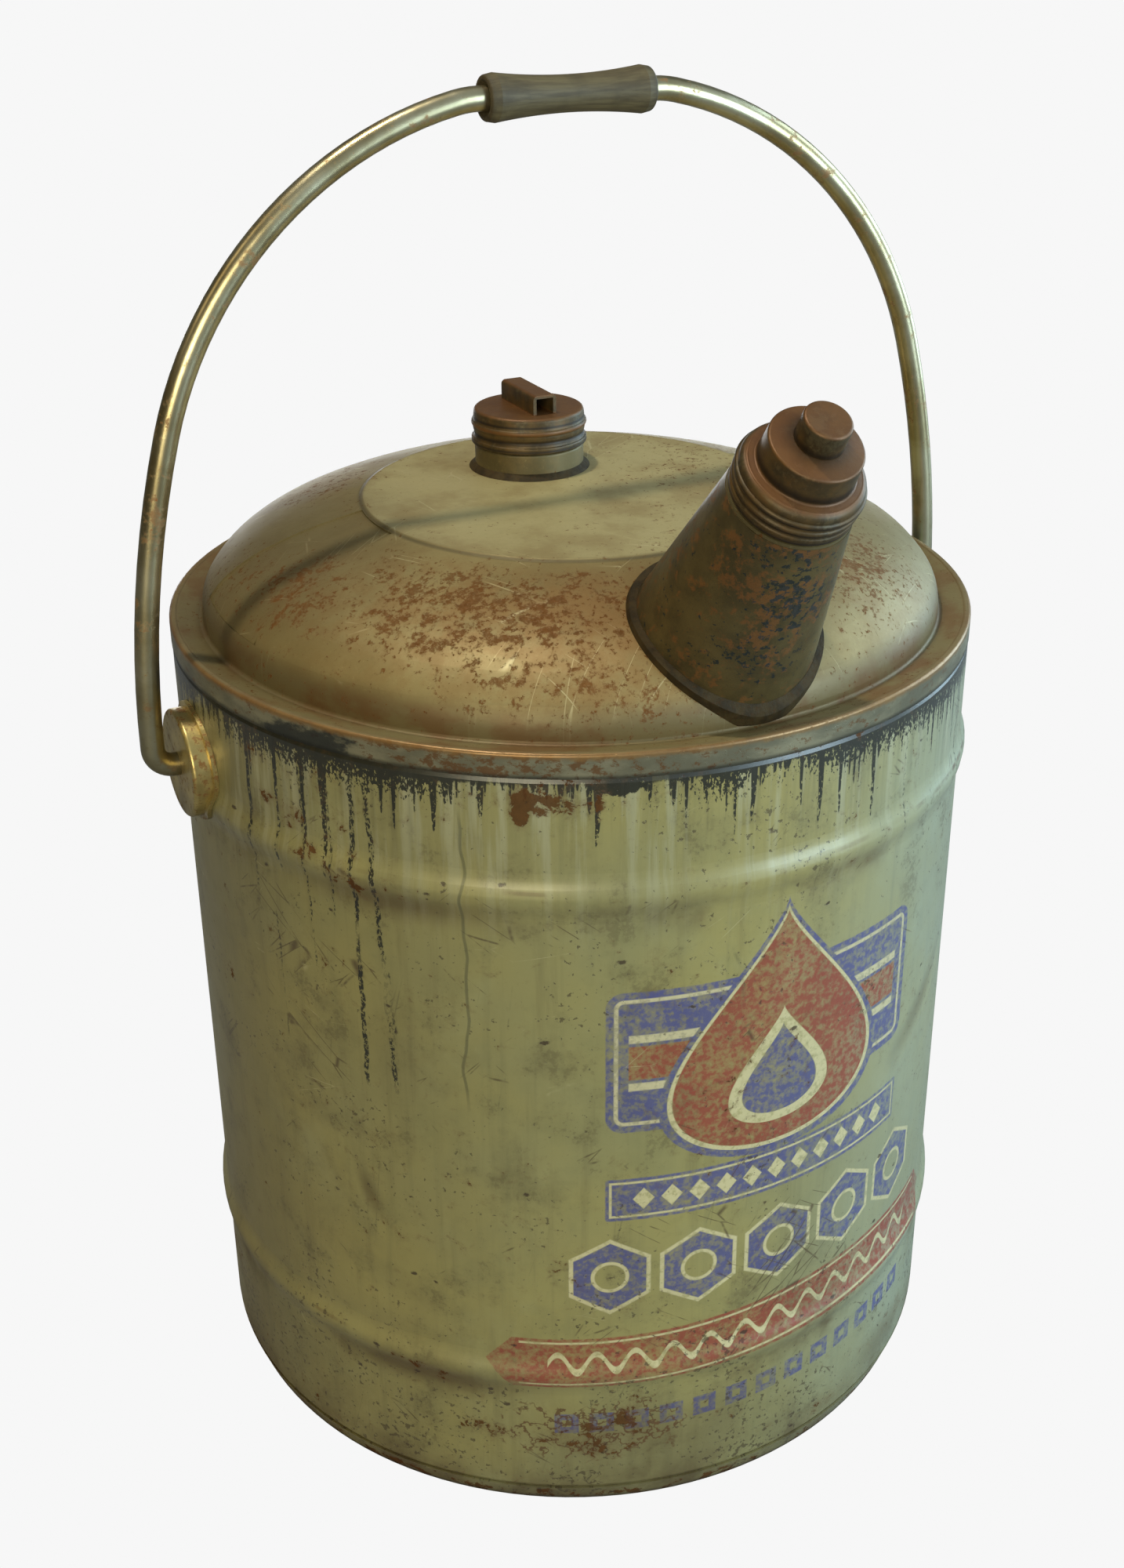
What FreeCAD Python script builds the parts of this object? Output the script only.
import FreeCAD, Part
import math
import os
import Sketcher
from FreeCAD import Placement, Rotation, Vector

# Five-gallon motor oil can: a seamed sheet-steel drum with a domed top, a soldered conical
# spout with a screw cap, a screw-capped filler, and a swinging bail with a spool grip.
# Frame: origin at the centre of the base on the ground, +Z up, spout towards -Y,
# filler towards +Y, right ear on +X and left ear on -X. Millimetres.

doc = FreeCAD.newDocument("MotorOilCan")

# ---------------------------------------------------------------- driving dimensions
# alias, value, note
TABLE = [
    ("bodyRadius", 143.0, "outside radius of the drum"),
    ("sheetThick", 0.7, "sheet steel of the drum and its ends"),
    ("rimTop", 303.0, "top of the upper double seam"),
    ("rimRadius", 143.2, "outside radius of the upper double seam"),
    ("rimBandLow", 294.8, "lower edge of the upper seam band"),
    ("baseRadius", 140.4, "outside radius of the base chime near the ground"),
    ("baseSeamTop", 7.6, "top edge of the lower seam"),
    ("hoopLow", 61.3, "height of the lower rolling hoop"),
    ("hoopHigh", 253.6, "height of the upper rolling hoop"),
    ("hoopHalf", 9.0, "half width of a hoop"),
    ("hoopProud", 2.0, "how far a hoop stands proud"),
    ("crownTop", 339.1, "height of the flat crown"),
    ("fluteDeep", 0.6, "depth of the pressed flutes in the dome over the ears"),
    ("fluteAngle", 10.8, "half angle of a flute, degrees"),
    ("wellRadius", 131.6, "radius of the gutter at the foot of the dome"),
    ("neckY", 33.7, "filler neck centre behind the can axis"),
    ("neckRadius", 19.9, "filler neck outside radius"),
    ("neckTop", 358.4, "top of the filler neck"),
    ("neckCore", 17.95, "core radius of the filler thread"),
    ("threadPitch", 4.0, "pitch of both cap threads"),
    ("fillCapLow", 348.6, "lower edge of the filler cap"),
    ("fillCapTop", 361.1, "top of the filler cap"),
    ("fillCapRadius", 21.05, "outside radius of the filler cap at its lower edge"),
    ("barLength", 27.4, "length of the bar on the filler cap"),
    ("barWidth", 9.0, "width of the bar on the filler cap"),
    ("barTop", 368.1, "top of the bar on the filler cap"),
    ("spoutY", -106.7, "point on the spout axis, Y"),
    ("spoutZ", 322.3, "point on the spout axis, Z"),
    ("spoutTilt", 32.7, "lean of the spout from upright, degrees"),
    ("coneFoot", 29.9, "cone outside radius at that point"),
    ("coneTaper", 0.1623, "loss of cone radius per mm along its axis"),
    ("coneMouth", 64.0, "cone length from that point to its mouth"),
    ("coneSheet", 0.8, "sheet steel of the spout cone"),
    ("spoutNeckTop", 74.9, "top of the spout ferrule"),
    ("spoutNeckCore", 15.5, "core radius of the spout thread"),
    ("spoutCapLow", 65.6, "lower edge of the spout cap"),
    ("spoutCapRadius", 19.25, "outside radius of the spout cap skirt"),
    ("pivotHeight", 264.1, "height of the bail pivot"),
    ("earRadius", 18.8, "outside radius of a bail ear"),
    ("earFace", 149.5, "outer face of a bail ear from the can axis"),
    ("earSheet", 1.5, "sheet steel of a bail ear"),
    ("rodRadius", 4.0, "bail rod radius"),
    ("rodFit", 0.08, "radial running clearance on the bail rod"),
    ("gripHalf", 30.0, "half length of the grip"),
    ("gripEnd", 7.7, "grip radius at its ends"),
    ("gripWaist", 5.9, "grip radius at its waist"),
    ("gap", 0.06, "gap between parts that lie on each other"),
]
sheet = doc.addObject("Spreadsheet::Sheet", "Dims")
sheet.Label = "Dims"
for index, (alias, value, note) in enumerate(TABLE):
    row = str(index + 1)
    sheet.set("A" + row, alias)
    sheet.set("B" + row, str(value))
    sheet.set("C" + row, note)
    sheet.setAlias("B" + row, alias)
doc.recompute()

OPERATORS = {
    "+": lambda a, b: a + b,
    "-": lambda a, b: a - b,
    "*": lambda a, b: a * b,
    "/": lambda a, b: a / b,
}


class Dim:
    """A number with the sheet expression that gives it; live when it reads the sheet."""

    def __init__(self, value, text=None):
        self.value = float(value)
        self.text = text if text is not None else "(%.6f)" % self.value
        self.live = text is not None

    def __add__(self, other):
        return combine(self, "+", other)

    def __radd__(self, other):
        return combine(other, "+", self)

    def __sub__(self, other):
        return combine(self, "-", other)

    def __rsub__(self, other):
        return combine(other, "-", self)

    def __mul__(self, other):
        return combine(self, "*", other)

    def __rmul__(self, other):
        return combine(other, "*", self)

    def __truediv__(self, other):
        return combine(self, "/", other)

    def __neg__(self):
        return combine(self, "*", -1.0)


def combine(left, sign, right):
    left = left if isinstance(left, Dim) else Dim(left)
    right = right if isinstance(right, Dim) else Dim(right)
    value = OPERATORS[sign](left.value, right.value)
    result = Dim(value, "(%s %s %s)" % (left.text, sign, right.text))
    result.live = left.live or right.live
    return result


def num(size):
    return size.value if isinstance(size, Dim) else float(size)


def bind(obj, prop, size):
    """Set a property, through its sheet expression where it has one."""
    if isinstance(size, Dim) and size.live:
        obj.setExpression(prop, size.text)
    else:
        setattr(obj, prop, num(size))


dim = {alias: Dim(value, "Dims." + alias) for alias, value, note in TABLE}
steel = dim["sheetThick"]
gap = dim["gap"]


# ---------------------------------------------------------------- sketches
def new_sketch(body, name, role, offset=None):
    """Sketch on the origin plane of the body that has this role."""
    sketch = body.newObject("Sketcher::SketchObject", name)
    support = [f for f in body.Origin.OriginFeatures if f.Role == role][0]
    sketch.AttachmentSupport = (support, [""])
    sketch.MapMode = "FlatFace"
    if offset is not None:
        sketch.AttachmentOffset = offset
    return sketch


def constrain(sketch, size, *constraint):
    """Add a dimensional constraint and tie it to the sheet where its size is live."""
    index = sketch.addConstraint(Sketcher.Constraint(*constraint, num(size)))
    if isinstance(size, Dim) and size.live:
        sketch.setExpression("Constraints[%d]" % index, size.text)


def pin(sketch, geometry, end, x, y):
    """Place one point of a geometry; a zero coordinate puts it on the axis."""
    for kind, size, axis in (("DistanceX", x, -2), ("DistanceY", y, -1)):
        if abs(num(size)) < 1e-9:
            sketch.addConstraint(Sketcher.Constraint("PointOnObject", geometry, end, axis))
        else:
            constrain(sketch, size, kind, -1, 1, geometry, end)


def add_arc(sketch, start, end, radius):
    """Arc of signed radius; returns its id and which of its ends are start and end."""
    chord = end - start
    half = chord.Length / 2.0
    lift = math.sqrt(max(radius * radius - half * half, 0.0))
    left = Vector(-chord.y, chord.x, 0).normalize()
    centre = (start + end) * 0.5 + left * (lift if radius > 0 else -lift)
    ray_start, ray_end = start - centre, end - centre
    angle_start = math.atan2(ray_start.y, ray_start.x)
    angle_end = math.atan2(ray_end.y, ray_end.x)
    full = Part.Circle(centre, Vector(0, 0, 1), abs(radius))
    if radius > 0:
        if angle_end < angle_start:
            angle_end += 2 * math.pi
        arc = sketch.addGeometry(Part.ArcOfCircle(full, angle_start, angle_end), False)
        ends = (arc, 1, 2)
    else:
        if angle_start < angle_end:
            angle_start += 2 * math.pi
        arc = sketch.addGeometry(Part.ArcOfCircle(full, angle_end, angle_start), False)
        ends = (arc, 2, 1)
    sketch.addConstraint(Sketcher.Constraint("Radius", arc, abs(radius)))
    return ends


def arc_after(point):
    return point[2] if len(point) > 2 else None


def draw(sketch, points, closed=True):
    """Chain of lines and arcs. A vertex is (x, y) or (x, y, radius): the signed radius of
    the arc to the next vertex, positive when it turns counter-clockwise, None for a line."""
    count = len(points)
    segments = count if closed else count - 1
    ends = []
    for i in range(segments):
        point, following = points[i], points[(i + 1) % count]
        start = Vector(num(point[0]), num(point[1]), 0)
        end = Vector(num(following[0]), num(following[1]), 0)
        radius = arc_after(point)
        if radius is None:
            line = sketch.addGeometry(Part.LineSegment(start, end), False)
            ends.append((line, 1, 2))
        else:
            ends.append(add_arc(sketch, start, end, num(radius)))
    for i in range(segments):
        if i + 1 < segments or closed:
            this, after = ends[i], ends[(i + 1) % segments]
            sketch.addConstraint(
                Sketcher.Constraint("Coincident", this[0], this[2], after[0], after[1]))
    for i in range(count):
        geometry, end = ends[i][:2] if i < segments else (ends[-1][0], ends[-1][2])
        pin(sketch, geometry, end, points[i][0], points[i][1])


def draw_circle(sketch, x, y, radius):
    centre = Vector(num(x), num(y), 0)
    ring = sketch.addGeometry(Part.Circle(centre, Vector(0, 0, 1), num(radius)), False)
    pin(sketch, ring, 3, x, y)
    constrain(sketch, radius, "Radius", ring)


def reversed_chain(points):
    """The same open chain walked from its other end."""
    arcs = [None] + [-arc if arc else None for arc in map(arc_after, points[:-1])]
    return [(p[0], p[1], arc) for p, arc in zip(points, arcs)][::-1]


def mirrored(points, side):
    """The chain as it is for side 1.0, mirrored in the vertical axis for side -1.0."""
    chain = []
    for point in points:
        arc = arc_after(point)
        chain.append((point[0] * side, point[1], arc * side if arc else None))
    return chain


# ---------------------------------------------------------------- features and pieces
def new_body(label):
    body = doc.addObject("PartDesign::Body", "Body_" + label)
    body.Label = label
    return body


def revolve(body, name, points, angle=360.0, midplane=False, role="XZ_Plane",
            kind="Revolution"):
    """Turn a (radius, height) outline about the vertical axis, adding or grooving."""
    sketch = new_sketch(body, name + "Sketch", role)
    draw(sketch, points)
    feature = body.newObject("PartDesign::" + kind, name)
    feature.Profile = sketch
    feature.ReferenceAxis = (sketch, ["V_Axis"])
    feature.Angle = angle
    feature.Midplane = midplane


def turned(label, name, points, where=None):
    """New body with one full revolution."""
    body = new_body(label)
    revolve(body, name, points)
    if where is not None:
        body.Placement = where
    return body


def bore_through(body, name, y, radius, length, offset=None):
    """Round hole square to the XY plane of the body, cut both ways from it."""
    sketch = new_sketch(body, name + "Sketch", "XY_Plane", offset)
    draw_circle(sketch, 0.0, y, radius)
    pocket = body.newObject("PartDesign::Pocket", name)
    pocket.Profile = sketch
    pocket.Type = "Length"
    pocket.SideType = "Symmetric"
    pocket.Length = length


def thread(body, name, root, crest, low, height):
    """Helical ridge from root radius to crest radius; low is its lowest edge."""
    sketch = new_sketch(body, name + "Sketch", "XZ_Plane")
    draw(sketch, [(root, low), (root, low + 1.6), (crest, low + 1.2), (crest, low + 0.4)])
    helix = body.newObject("PartDesign::AdditiveHelix", name)
    helix.Profile = sketch
    helix.ReferenceAxis = (sketch, ["V_Axis"])
    helix.Mode = "pitch-height-angle"
    bind(helix, "Pitch", dim["threadPitch"])
    helix.Height = height
    helix.Angle = 0
    helix.LeftHanded = False
    helix.Reversed = False


def boolean(kind, label, base, tool):
    result = doc.addObject("Part::" + kind, kind + "_" + label)
    result.Base = base
    result.Tool = tool
    result.Label = label
    return result


NODES = []


def publish(obj, where=None):
    """Place a finished piece and list it for export."""
    if where is not None:
        obj.Placement = where
    NODES.append(obj)


pivot_height = dim["pivotHeight"]
PIVOT = Vector(0, 0, num(pivot_height))
SPOUT_FRAME = Placement(Vector(0, num(dim["spoutY"]), num(dim["spoutZ"])),
                        Rotation(Vector(1, 0, 0), num(dim["spoutTilt"])))
FILLER_FRAME = Placement(Vector(0, num(dim["neckY"]), 0), Rotation())
# local Z of an ear frame points outwards
RIGHT_EAR_FRAME = Placement(PIVOT, Rotation(Vector(0, 1, 0), 90))
LEFT_EAR_FRAME = Placement(PIVOT, Rotation(Vector(0, 1, 0), -90))

# ---------------------------------------------------------------- drum outlines
drum_radius = dim["bodyRadius"]
seam_top = dim["baseSeamTop"]
base_radius = dim["baseRadius"]
rim_low = dim["rimBandLow"]
rim_top = dim["rimTop"]
rim_radius = dim["rimRadius"]

FOOT_ROUND = 0.6          # rounding where the chime meets the ground
CHIME_SLOPE = 0.357       # gain of chime radius per mm of height
LEAN_FACTOR = 1.06        # radial thickness of the leaning sheet over its true thickness
SEAM_PLAY = 0.08          # radial play between the layers of the lower seam
HOOP_CREST_RADIUS = 9.0

# insets of the three sheet layers of the lower seam from the outer face of the chime
hook_inner = steel * LEAN_FACTOR
wall_outer = hook_inner + SEAM_PLAY
wall_inner = wall_outer + steel * LEAN_FACTOR
pan_outer = wall_inner + SEAM_PLAY
pan_inner = pan_outer + steel * LEAN_FACTOR


def chime(height, inset):
    """Radius on the leaning base chime, inset from its outer face."""
    return base_radius + CHIME_SLOPE * (height - FOOT_ROUND) - inset


def hoop_up(middle, inset):
    """Rolling hoop walked upwards: concave, convex and concave arcs, inset inwards."""
    half_width, proud = dim["hoopHalf"], dim["hoopProud"]
    sweep = 2 * math.atan(num(proud) / num(half_width))
    foot_radius = num(half_width) / math.sin(sweep) - HOOP_CREST_RADIUS
    foot_arc = -(foot_radius + num(inset))
    crest_arc = HOOP_CREST_RADIUS - num(inset)
    rise = crest_arc * math.sin(sweep)
    reach = proud - HOOP_CREST_RADIUS + crest_arc * math.cos(sweep)
    return [
        (drum_radius - inset, middle - half_width, foot_arc),
        (drum_radius + reach, middle - rise, crest_arc),
        (drum_radius + reach, middle + rise, foot_arc),
        (drum_radius - inset, middle + half_width),
    ]


def hoops_up(inset):
    return hoop_up(dim["hoopLow"], inset) + hoop_up(dim["hoopHigh"], inset)


def hoops_down(inset):
    return reversed_chain(hoops_up(inset))


def drum_core(label, raised):
    """Solid drum grown by raised, used to trim what sits on the wall."""
    return turned(label, label + "Rev", [(0.0, 20.0), (drum_radius + raised, 20.0)]
                  + hoops_up(-raised) + [(drum_radius + raised, 320.0), (0.0, 320.0)])


# ---------------------------------------------------------------- drum shell
WALL_FOOT = 1.6    # height of the lower edge of the wall, inside the lower seam
NECK_IN = 0.6      # how far the wall steps in under the upper seam band
LAP_PROUD = 0.6    # how far the side seam lap stands off the wall
LAP_BURIED = 0.3   # how far it reaches into the wall
LAP_ANGLE = 3.2    # degrees

necked_radius = drum_radius - NECK_IN
body_shell = new_body("body_shell")
revolve(body_shell, "ShellWall", [
    (chime(WALL_FOOT, wall_outer), WALL_FOOT),
    (chime(seam_top, wall_outer), seam_top + 0.06),
    (drum_radius, seam_top + 1.8),
] + hoops_up(0.0) + [
    (drum_radius, rim_low - 1.6),
    (necked_radius, rim_low - 0.2),
    (necked_radius, rim_top - 2.7),
    (necked_radius - steel, rim_top - 2.7),
    (necked_radius - steel, rim_low - 0.4),
    (drum_radius - steel, rim_low - 1.9),
] + hoops_down(steel) + [
    (drum_radius - steel, seam_top + 2.1),
    (chime(seam_top, wall_inner), seam_top + 0.06),
    (chime(WALL_FOOT, wall_inner), WALL_FOOT),
])
# lap of the side seam, a raised strip down the back (+Y) that follows the hoops
revolve(body_shell, "SeamLap", [
    (drum_radius - LAP_BURIED, seam_top + 3.0), (drum_radius + LAP_PROUD, seam_top + 3.0),
] + hoops_up(-LAP_PROUD) + [
    (drum_radius + LAP_PROUD, rim_low - 2.4), (drum_radius - LAP_BURIED, rim_low - 2.4),
] + hoops_down(LAP_BURIED), angle=LAP_ANGLE, midplane=True, role="YZ_Plane")
publish(body_shell)

# ---------------------------------------------------------------- bottom end
PAN_TOP = 15.0            # top face of the pan outside its raised middle
MIDDLE_TOP = PAN_TOP + 1.6
PAN_BEND = 2.8            # outer bend radius between the chime and the pan

pan_wall = chime(seam_top, pan_outer)
publish(turned("bottom_pan", "PanSheet", [
    # hook outside the drum wall and turn under it
    (chime(seam_top, 0.0), seam_top),
    (chime(seam_top, hook_inner), seam_top),
    (chime(1.5, hook_inner), 1.5),
    (chime(1.1, hook_inner) - 0.4, 1.0),
    (chime(1.1, pan_outer) + 0.3, 1.0),
    (chime(1.5, pan_outer), 1.5),
    # up the inside of the wall and over the top of the pan
    (pan_wall, seam_top),
    (pan_wall, PAN_TOP - PAN_BEND, PAN_BEND),
    (pan_wall - PAN_BEND, PAN_TOP),
    (62.0, PAN_TOP), (58.0, MIDDLE_TOP), (0.0, MIDDLE_TOP),
    # back along the underside
    (0.0, MIDDLE_TOP - steel), (58.3, MIDDLE_TOP - steel), (62.3, PAN_TOP - steel),
    (pan_wall - PAN_BEND, PAN_TOP - steel, -2.1),
    (pan_wall - 0.7, PAN_TOP - PAN_BEND),
    (chime(seam_top, pan_inner), seam_top),
    (chime(0.9, pan_inner), 0.9),
    (chime(0.9, pan_inner) + 0.5, 0.0),
    (base_radius - FOOT_ROUND, 0.0, FOOT_ROUND),
    (base_radius, FOOT_ROUND),
]))

# ring of compound under the lower edge of the wall
publish(turned("bottom_seam_compound", "CompoundRing", [
    (chime(1.1, pan_outer) + 0.36, 1.06), (chime(1.1, hook_inner) - 0.46, 1.06),
    (chime(1.5, hook_inner) - 0.08, 1.54), (chime(1.5, pan_outer) + 0.08, 1.54),
]))

# ---------------------------------------------------------------- dome outlines
crown_top = dim["crownTop"]
well_radius = dim["wellRadius"]
crown_edge = well_radius - 58.4
gutter_toe = (well_radius + 1.494, rim_top - 2.227)

# outer face of the dome from the gutter to the crown:
# radius, height, direction of the surface in degrees
DOME = [
    (131.6, 303.5, 88.4),
    (129.1, 312.1, 124.0),
    (121.7, 320.1, 141.6),
    (109.6, 327.4, 156.2),
    (90.7, 334.3, 163.8),
    (74.8, 338.35, 166.8),
]
# gutter radius and crown height that the table is measured with
DOME_WELL, DOME_CROWN = 131.6, 339.1


def dome_up(inset):
    """Dome face set in along its normals, gutter to crown, tied to gutter and crown."""
    points = []
    for i, (radius, height, direction) in enumerate(DOME):
        x = radius - math.sin(math.radians(direction)) * inset
        y = height + math.cos(math.radians(direction)) * inset
        arc = None
        if i + 1 < len(DOME):
            next_radius, next_height, next_direction = DOME[i + 1]
            chord = math.hypot(next_radius - radius, next_height - height)
            half_turn = math.radians((next_direction - direction) / 2)
            arc = chord / (2 * math.sin(half_turn)) - inset
        points.append((well_radius + (x - DOME_WELL), crown_top + (y - DOME_CROWN), arc))
    return points


def dome_down(inset):
    return reversed_chain(dome_up(inset))


def dome_core(label, raised):
    """Solid under the dome grown by raised, used to trim what sits on it."""
    if raised > 1.0:
        foot = [(well_radius + 3.0, rim_top - 1.9 + raised)]
    else:
        foot = [(gutter_toe[0], gutter_toe[1] + raised),
                (well_radius + raised, rim_top - 1.063)]
    rim = rim_top - 0.4 + raised
    return turned(label, label + "Rev", [
        (0.0, 240.0), (well_radius + 11.0, 240.0),
        (well_radius + 11.0, rim), (well_radius + 9.0, rim),
    ] + foot + dome_up(-raised) + [(crown_edge, crown_top + raised), (0.0, crown_top + raised)])


# ---------------------------------------------------------------- domed top
dome_top = new_body("dome_top")
revolve(dome_top, "DomeSheet", [
    # outer face: seam band, rim, gutter, dome, crown
    (rim_radius - steel, rim_low), (rim_radius, rim_low),
    (rim_radius, rim_top - 1.1, 1.1), (rim_radius - 1.1, rim_top),
    (rim_radius - 1.8, rim_top, 1.2), (rim_radius - 2.6, rim_top - 0.35),
    gutter_toe + (-1.2,), (well_radius, rim_top - 1.063),
] + dome_up(0.0) + [
    (crown_edge, crown_top), (0.0, crown_top),
    # inner face, back to the seam band
    (0.0, crown_top - steel), (crown_edge - 0.25, crown_top - steel),
] + dome_down(num(steel)) + [
    (well_radius - steel, rim_top - 1.063, 1.2 + num(steel)),
    (gutter_toe[0] + 0.245 * steel, gutter_toe[1] - 0.969 * steel),
    (rim_radius - 2.5, rim_top - 0.35 - steel),
    (rim_radius - 2.0, rim_top - steel - 0.12),
    (rim_radius - steel - 0.5, rim_top - steel - 0.12),
    (rim_radius - steel, rim_top - 1.3),
])


def flute_band(near, far):
    """Closed band between two insets of the dome, from its second station to its last.
    The edge that closes it near the gutter is a shallow arc."""
    return dome_up(near)[1:] + dome_down(far)[:-1]


# pressed radial flutes over the ears: metal is added under the sheet, then the top is cut
flute_deep = num(dim["fluteDeep"])
flute_sweep = 2 * num(dim["fluteAngle"])
FLUTE_STEPS = (
    # name, kind, near inset, far inset, angle
    ("FluteFloor", "Revolution", num(steel) - 0.2, num(steel) + flute_deep, flute_sweep + 0.8),
    ("FluteCut", "Groove", -0.6, flute_deep, flute_sweep),
)
for name, kind, near, far, angle in FLUTE_STEPS:
    for side_name, side in (("Right", 1.0), ("Left", -1.0)):
        revolve(dome_top, name + side_name, mirrored(flute_band(near, far), side),
                angle=angle, midplane=True, kind=kind)
bore_through(dome_top, "FillerHole", y=dim["neckY"], radius=17.0, length=900.0)
bore_through(dome_top, "SpoutHole", y=0.0, radius=24.0, length=60.0, offset=SPOUT_FRAME)
publish(dome_top)

# ring of compound over the upper edge of the wall
compound_inner = rim_radius - 2.0 * steel
compound_outer = rim_radius - steel - 0.15
publish(turned("top_seam_compound", "CompoundRing", [
    (compound_inner, rim_top - 2.6), (compound_outer, rim_top - 2.6),
    (compound_outer, rim_top - 1.5), (compound_inner, rim_top - 1.5),
]))

# ---------------------------------------------------------------- spout
# heights in this section run along the spout axis
CONE_START = -12.0      # lower end of the untrimmed cone, inside the dome
BEAD_END = 30.0         # upper end of the untrimmed solder bead
BEAD_WIDE = 2.4
BEAD_RISE = 2.2         # height of the solder above the dome

cone_mouth = dim["coneMouth"]
cone_sheet = dim["coneSheet"]


def cone_radius(along):
    return dim["coneFoot"] - dim["coneTaper"] * along


cone_blank = turned("ToolConeRaw", "ConeRaw", [
    (cone_radius(CONE_START), CONE_START), (cone_radius(cone_mouth), cone_mouth),
    (cone_radius(cone_mouth) - cone_sheet, cone_mouth),
    (cone_radius(CONE_START) - cone_sheet, CONE_START),
], SPOUT_FRAME)
publish(boolean("Cut", "spout_cone", cone_blank, dome_core("ToolDomeA", num(gap))))

# solder fillet round the foot of the cone
bead_blank = turned("ToolBeadRaw", "BeadRaw", [
    (cone_radius(CONE_START) + gap, CONE_START),
    (cone_radius(CONE_START) + BEAD_WIDE, CONE_START),
    (cone_radius(BEAD_END) + BEAD_WIDE, BEAD_END),
    (cone_radius(BEAD_END) + gap, BEAD_END),
], SPOUT_FRAME)
bead_low = boolean("Common", "ToolBeadLow", bead_blank,
                   dome_core("ToolDomeRaised", BEAD_RISE))
publish(boolean("Cut", "spout_solder_bead", bead_low, dome_core("ToolDomeB", num(gap))))

neck_top = dim["spoutNeckTop"]
neck_core = dim["spoutNeckCore"]
cap_low = dim["spoutCapLow"]
cap_radius = dim["spoutCapRadius"]

# threaded ferrule with a collar on the cone mouth and a tube down inside it
ferrule = turned("spout_ferrule", "FerruleTube", [
    (17.6, cone_mouth - 6.0), (18.5, cone_mouth - 6.0), (18.5, cone_mouth + 0.06),
    (cap_radius + 0.05, cone_mouth + 0.06), (cap_radius + 0.05, cap_low - 0.35),
    (neck_core, cap_low - 0.35), (neck_core, neck_top - 0.5, 0.5),
    (neck_core - 0.5, neck_top), (neck_core - 1.3, neck_top),
    (neck_core - 1.3, cone_mouth + 0.5), (17.6, cone_mouth - 2.0),
])
thread(ferrule, "FerruleThread", root=neck_core - 0.25, crest=neck_core + 1.05,
       low=67.7, height=4.5)
publish(ferrule, SPOUT_FRAME)

spout_cap = turned("spout_cap", "CapShell", [
    # rounded ridges up the skirt
    (17.1, cap_low), (cap_radius - 0.5, cap_low, 0.5), (cap_radius, cap_low + 0.5),
    (cap_radius, cap_low + 1.5, 0.9), (cap_radius - 0.1, cap_low + 2.6, -0.9),
    (cap_radius - 0.1, cap_low + 3.8, 1.1), (cap_radius - 0.1, cap_low + 5.6, -0.9),
    (cap_radius - 0.1, cap_low + 6.8, 1.1),
    # shoulder and narrower crown
    (cap_radius - 0.25, cap_low + 8.9, 2.6), (cap_radius - 1.6, cap_low + 11.6, 0.9),
    (cap_radius - 2.4, cap_low + 11.95),
    (cap_radius - 3.6, cap_low + 12.2, -0.9), (cap_radius - 4.5, cap_low + 13.2),
    (cap_radius - 4.85, cap_low + 20.8, 0.9), (cap_radius - 5.7, cap_low + 21.65),
    # hole for the knob, then the inside
    (7.5, cap_low + 22.7), (3.05, cap_low + 22.7), (3.05, cap_low + 20.5),
    (13.3, cap_low + 20.3), (13.6, cap_low + 10.6), (17.1, cap_low + 10.6),
])
thread(spout_cap, "CapThread", root=17.35, crest=15.95, low=cap_low + 0.1, height=5.0)
publish(spout_cap, SPOUT_FRAME)

publish(turned("spout_cap_knob", "KnobTurned", [
    (0.0, cap_low + 19.0), (5.0, cap_low + 19.0), (5.0, cap_low + 20.25),
    (2.97, cap_low + 20.4), (2.97, cap_low + 22.76),
    (7.4, cap_low + 22.76), (7.35, cap_low + 30.2, 1.0), (6.35, cap_low + 31.2),
    (0.0, cap_low + 31.3),
]), SPOUT_FRAME)


def liner(label, radius, low, top, where):
    """Disc between the mouth of a neck and its cap."""
    outline = [(0.0, low), (radius, low), (radius, top), (0.0, top)]
    publish(turned(label, "LinerDisc", outline), where)


liner("spout_cap_liner", 16.6, neck_top + 0.05, cap_low + 10.54, SPOUT_FRAME)

# ---------------------------------------------------------------- filler
fill_radius = dim["neckRadius"]
fill_core = dim["neckCore"]
fill_top = dim["neckTop"]
lid_low = dim["fillCapLow"]
lid_top = dim["fillCapTop"]
lid_radius = dim["fillCapRadius"]

filler_neck = turned("filler_neck", "NeckTube", [
    (16.1, crown_top - 3.4), (16.9, crown_top - 3.4), (16.9, crown_top + 0.05),
    (fill_radius, crown_top + 0.05), (fill_radius, lid_low - 1.4, 0.9),
    (fill_radius - 0.9, lid_low - 0.5),
    (fill_core, lid_low - 0.5), (fill_core, fill_top - 0.6, 0.6),
    (fill_core - 0.6, fill_top), (fill_core - 1.35, fill_top),
    (fill_core - 1.35, crown_top + 1.0), (16.1, crown_top - 0.2),
])
thread(filler_neck, "NeckThread", root=fill_core - 0.25, crest=fill_core + 1.0,
       low=350.7, height=5.0)
publish(filler_neck, FILLER_FRAME)

publish(turned("filler_neck_solder", "SolderRing", [
    (fill_radius + gap, crown_top + gap), (fill_radius + 2.3, crown_top + gap),
    (fill_radius + gap, crown_top + 2.1),
]), FILLER_FRAME)

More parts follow.
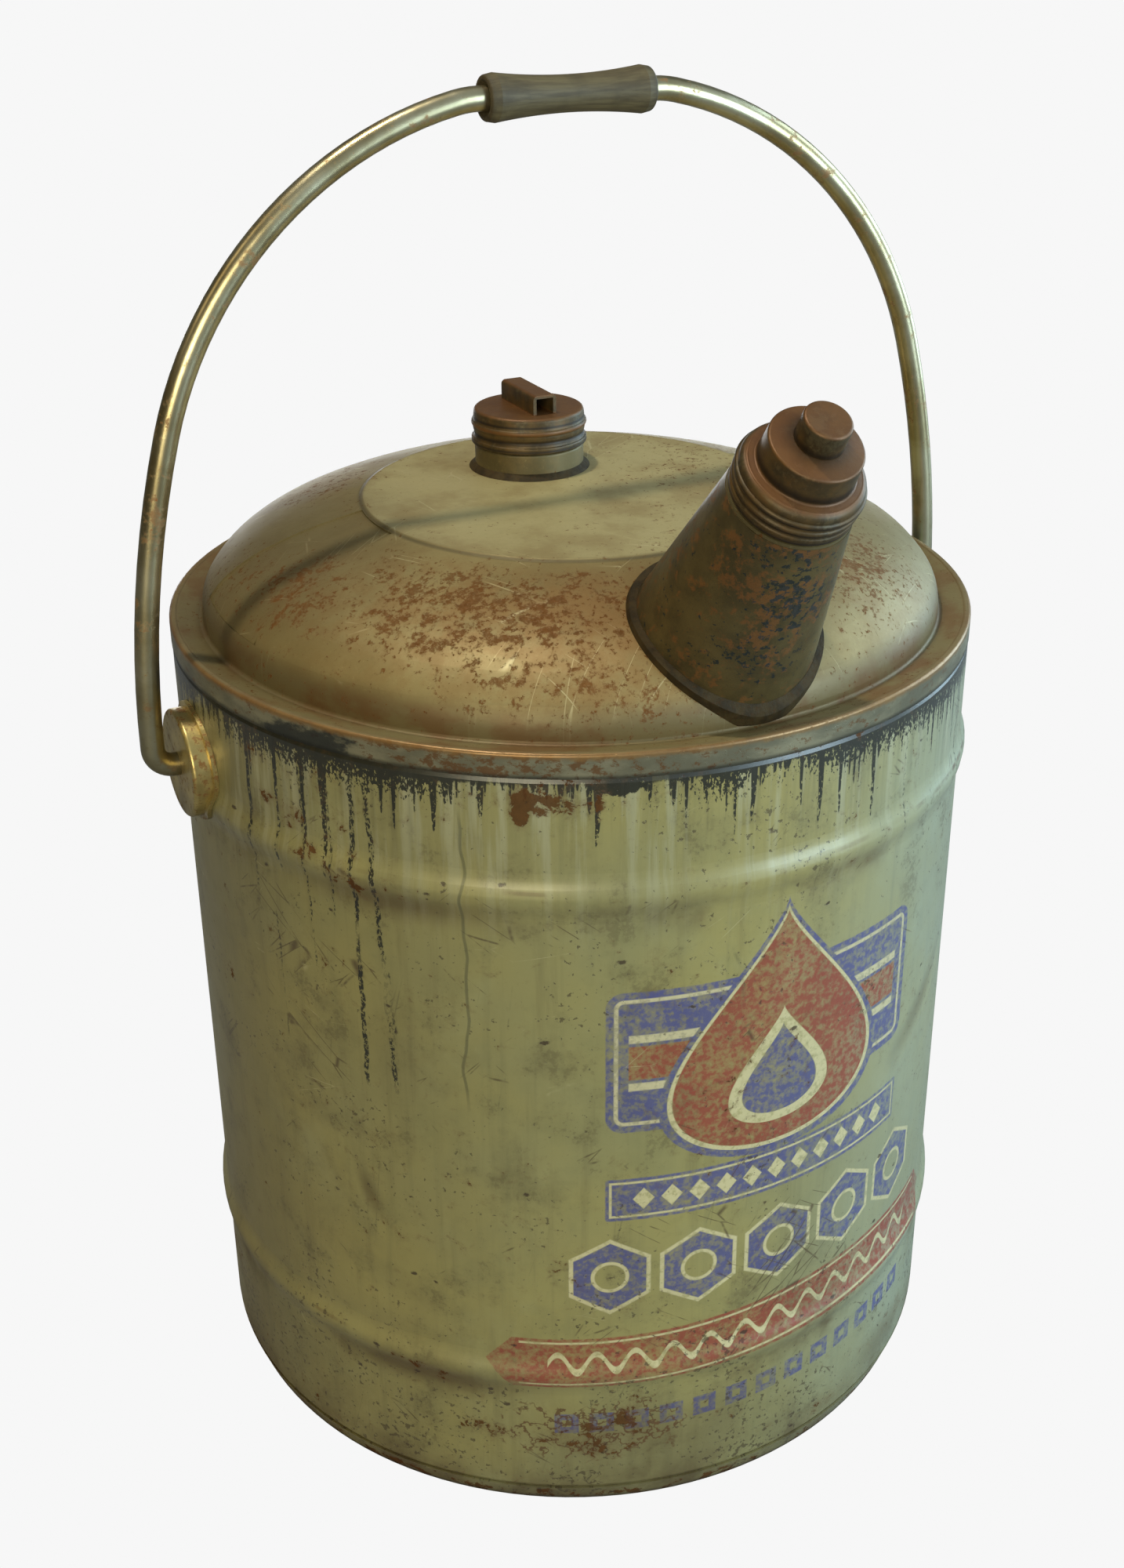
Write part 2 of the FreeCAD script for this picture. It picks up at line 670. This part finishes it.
filler_cap = turned("filler_cap", "CapShell", [
    (19.4, lid_low), (lid_radius - 0.4, lid_low, 0.4), (lid_radius, lid_low + 0.4),
    (lid_radius, lid_low + 1.6, 0.7), (lid_radius - 0.5, lid_low + 2.3),
    (lid_radius - 0.75, lid_low + 3.0, -1.3), (lid_radius - 0.75, lid_low + 4.6),
    (lid_radius - 0.55, lid_low + 5.6), (lid_radius - 0.5, lid_low + 6.3, 1.2),
    (lid_radius - 0.55, lid_low + 8.3), (lid_radius - 0.75, lid_low + 9.0),
    (lid_radius - 0.95, lid_low + 11.1, 1.4), (lid_radius - 2.35, lid_top),
    (0.0, lid_top), (0.0, lid_top - 1.2), (19.4, lid_top - 1.2),
])
thread(filler_cap, "CapThread", root=19.65, crest=18.35, low=lid_low + 0.1, height=5.0)
publish(filler_cap, FILLER_FRAME)

# pressed bar along Y: an inverted channel with rounded upper edges
BAR_ROUND = 1.6
BAR_SHEET = 1.2
bar_half = dim["barWidth"] / 2.0
bar_top = dim["barTop"]
bar_foot = lid_top + gap
filler_bar = new_body("filler_cap_bar")
bar_sketch = new_sketch(filler_bar, "BarSketch", "XZ_Plane")
draw(bar_sketch, [
    (bar_half, bar_foot), (bar_half, bar_top - BAR_ROUND, BAR_ROUND),
    (bar_half - BAR_ROUND, bar_top), (BAR_ROUND - bar_half, bar_top, BAR_ROUND),
    (-bar_half, bar_top - BAR_ROUND), (-bar_half, bar_foot),
    (BAR_SHEET - bar_half, bar_foot), (BAR_SHEET - bar_half, bar_top - BAR_SHEET),
    (bar_half - BAR_SHEET, bar_top - BAR_SHEET), (bar_half - BAR_SHEET, bar_foot),
])
bar_pad = filler_bar.newObject("PartDesign::Pad", "BarPad")
bar_pad.Profile = bar_sketch
bar_pad.SideType = "Symmetric"
bind(bar_pad, "Length", dim["barLength"])
publish(filler_bar, FILLER_FRAME)

liner("filler_cap_liner", 19.0, fill_top + 0.05, lid_top - 1.26, FILLER_FRAME)

# ---------------------------------------------------------------- bail ears and washers
EAR_START = 120.0      # inner end of the untrimmed cup, inside the drum
EAR_ROUND = 1.3
EAR_INNER_ROUND = 0.4
WELD_WIDE = 1.9
WELD_RISE = 1.5        # height of the weld above the drum wall
WASHER_RADIUS = 8.2
WASHER_START = 145.9   # inner face of a washer from the can axis

ear_radius = dim["earRadius"]
ear_face = dim["earFace"]
ear_inner_face = ear_face - dim["earSheet"]
ear_inner_radius = ear_radius - dim["earSheet"]
rod_radius = dim["rodRadius"]
rod_bore = rod_radius + dim["rodFit"]


def ear(label, frame, trim_name, raised_name, weld_trim_name):
    """Round cup on the drum wall, open inwards, with a weld ring round its foot."""
    cup = turned("Tool_" + label, "Cup", [
        (ear_radius, EAR_START), (ear_radius, ear_face - EAR_ROUND, EAR_ROUND),
        (ear_radius - EAR_ROUND, ear_face), (rod_bore, ear_face), (rod_bore, ear_inner_face),
        (ear_inner_radius - EAR_INNER_ROUND, ear_inner_face, -EAR_INNER_ROUND),
        (ear_inner_radius, ear_inner_face - EAR_INNER_ROUND), (ear_inner_radius, EAR_START),
    ], frame)
    publish(boolean("Cut", label, cup, drum_core(trim_name, num(gap))))
    ring = turned("ToolWeld_" + label, "Ring", [
        (ear_radius + gap, EAR_START), (ear_radius + WELD_WIDE, EAR_START),
        (ear_radius + WELD_WIDE, ear_face), (ear_radius + gap, ear_face),
    ], frame)
    low = boolean("Common", "ToolWeldLow_" + label, ring, drum_core(raised_name, WELD_RISE))
    publish(boolean("Cut", label + "_weld", low, drum_core(weld_trim_name, num(gap))))


def washer(label, frame):
    """Washer on the bail rod, inside the ear."""
    inner = rod_radius + 0.02
    face = ear_inner_face - 0.35
    publish(turned(label, "Washer", [
        (inner, WASHER_START), (WASHER_RADIUS, WASHER_START),
        (WASHER_RADIUS, face - 0.25, 0.25), (WASHER_RADIUS - 0.25, face), (inner, face),
    ]), frame)


ear("left_ear", LEFT_EAR_FRAME, "ToolDrumA", "ToolDrumR1", "ToolDrumB")
ear("right_ear", RIGHT_EAR_FRAME, "ToolDrumC", "ToolDrumR2", "ToolDrumD")
washer("left_bail_washer", LEFT_EAR_FRAME)
washer("right_bail_washer", RIGHT_EAR_FRAME)

# ---------------------------------------------------------------- bail
STUB_END = 144.7       # inner end of the rod, from the can axis
BAIL_HALF = 157.5      # half width of the centreline above the elbows
ELBOW = 7.0            # centreline radius of the elbow
# arcs above the elbow: radius, sweep in degrees; the last brings the rod level
SIDE_SWEEP, SHOULDER_SWEEP = 16.54, 61.28
BAIL_ARCS = [
    (371.2, SIDE_SWEEP),
    (136.7, SHOULDER_SWEEP),
    (40.0, 90.0 - SIDE_SWEEP - SHOULDER_SWEEP),
]


def bail_side():
    """Right half of the centreline, from the stub up; heights are above the pivot."""
    points = [(STUB_END, 0.0, None), (BAIL_HALF - ELBOW, 0.0, ELBOW)]
    x, y, angle = BAIL_HALF, ELBOW, 0.0
    for radius, sweep in BAIL_ARCS:
        points.append((x, y, radius))
        x -= radius * math.cos(math.radians(angle))
        y -= radius * math.sin(math.radians(angle))
        angle += sweep
        x += radius * math.cos(math.radians(angle))
        y += radius * math.sin(math.radians(angle))
    return points + [(x, y, None)]


right_side = bail_side()
grip_rise = right_side[-1][1]
right_chain = [(x, pivot_height + y, arc) for x, y, arc in right_side]
centreline = right_chain + mirrored(reversed_chain(right_chain), -1.0)

bail_rod = new_body("bail_rod")
path = new_sketch(bail_rod, "BailPath", "XZ_Plane")
draw(path, centreline, closed=False)
section = new_sketch(bail_rod, "BailSection", "YZ_Plane",
                     Placement(Vector(0, 0, STUB_END), Rotation()))
draw_circle(section, 0.0, pivot_height, rod_radius)
pipe = bail_rod.newObject("PartDesign::AdditivePipe", "BailSweep")
pipe.Profile = section
pipe.Spine = (path, ["Edge%d" % (i + 1) for i in range(len(centreline) - 1)])
pipe.Mode = "Frenet"
pipe.Transition = "Transformed"
publish(bail_rod)

# ---------------------------------------------------------------- grip
LIP = 3.4              # length of the lip at each end of the spool
grip_half = dim["gripHalf"]
grip_end = dim["gripEnd"]
grip_waist = dim["gripWaist"]
waist_depth = num(grip_end) - num(grip_waist)
waist_arc = ((num(grip_half) - LIP) ** 2 + waist_depth ** 2) / (2 * waist_depth)
publish(turned("grip", "Spool", [
    (rod_bore, 2.5 - grip_half), (5.7, -grip_half),
    (grip_end - 1.3, -grip_half, 1.0), (grip_end - 0.45, 0.9 - grip_half),
    (grip_end, LIP - grip_half, -waist_arc), (grip_waist, 0.0, -waist_arc),
    (grip_end, grip_half - LIP), (grip_end - 0.45, grip_half - 0.9, 1.0),
    (grip_end - 1.3, grip_half), (5.7, grip_half), (rod_bore, grip_half - 2.5),
]), Placement(PIVOT + Vector(0, 0, grip_rise), Rotation(Vector(0, 1, 0), 90)))

# ---------------------------------------------------------------- recompute, test, write
doc.recompute()
bad = []
for obj in doc.Objects:
    state = list(obj.State)
    if "Invalid" in state or "Error" in state:
        bad.append(obj.Name + " (" + obj.Label + ") " + str(state))
for obj in NODES:
    shape = obj.Shape
    if shape.isNull():
        bad.append(obj.Label + " is empty")
        continue
    if not shape.isValid():
        bad.append(obj.Label + " is not valid")
    if len(shape.Solids) < 1:
        bad.append(obj.Label + " has no solid")
if bad:
    raise SystemExit("failed objects: " + "; ".join(bad))

os.makedirs("parts", exist_ok=True)
for obj in NODES:
    obj.Shape.exportStep("parts/" + obj.Label + ".step")
